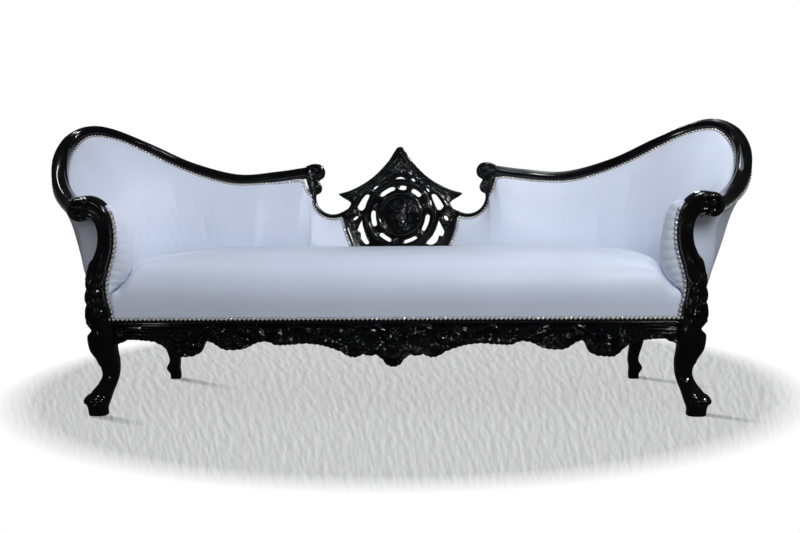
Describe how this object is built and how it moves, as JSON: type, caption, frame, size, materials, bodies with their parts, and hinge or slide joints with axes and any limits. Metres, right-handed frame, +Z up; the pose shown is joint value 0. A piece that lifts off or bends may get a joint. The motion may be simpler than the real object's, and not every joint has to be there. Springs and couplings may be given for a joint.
{
  "type": "sofa",
  "caption": "Long show-wood sofa with carved black frame, cabriole legs, domed leather seat, winged back running into the arms and a pierced centre crest.",
  "frame": {"origin": "middle of the footprint, on the floor", "axes": "+X along the sofa's length to the right as seen from the front, the sofa faces -Y, +Z up"},
  "size_m": [2.4024, 0.6862, 0.9393],
  "materials": {
    "black_lacquer": "high-gloss black lacquer on carved wood",
    "beech": "bare planed frame wood",
    "pale_leather": "smooth ice-blue white leather",
    "seat_filling": "foam and wadding",
    "hessian": "coarse jute cloth",
    "dust_cloth": "black lining cloth",
    "spring_steel": "drawn wire",
    "nickel": "polished nickel nail heads"
  },
  "bodies": {
    "root": {"centre_panel": "black_lacquer", "dust_cover": "dust_cloth", "front_rail": "black_lacquer", "left_arm_nails": "nickel", "left_arm_post": "black_lacquer", "left_back_nails": "nickel", "left_back_post": "beech", "left_crest_rail": "black_lacquer", "left_front_corner_block": "beech", "left_front_leg": "black_lacquer", "left_inside_pad": "pale_leather", "left_outside_cover": "pale_leather", "left_outside_nails": "nickel", "left_rear_corner_block": "beech", "left_rear_leg": "black_lacquer", "left_scroll_bracket": "black_lacquer", "left_side_rail": "black_lacquer", "left_wing_post": "beech", "lower_back_rail": "black_lacquer", "medallion_dish": "black_lacquer", "medallion_head": "black_lacquer", "medallion_ring": "black_lacquer", "rear_rail": "black_lacquer", "right_arm_nails": "nickel", "right_arm_post": "black_lacquer", "right_back_nails": "nickel", "right_back_post": "beech", "right_crest_rail": "black_lacquer", "right_front_corner_block": "beech", "right_front_leg": "black_lacquer", "right_inside_pad": "pale_leather", "right_outside_cover": "pale_leather", "right_outside_nails": "nickel", "right_rear_corner_block": "beech", "right_rear_leg": "black_lacquer", "right_scroll_bracket": "black_lacquer", "right_side_rail": "black_lacquer", "right_wing_post": "beech", "seat_cover": "pale_leather", "seat_filling": "seat_filling", "seat_hessian": "hessian", "seat_nails": "nickel", "seat_spring_1": "spring_steel", "seat_spring_2": "spring_steel", "seat_spring_3": "spring_steel", "seat_spring_4": "spring_steel", "seat_spring_5": "spring_steel", "seat_spring_6": "spring_steel", "seat_spring_7": "spring_steel", "seat_spring_8": "spring_steel", "seat_stretcher": "beech"}
  },
  "joints": []
}
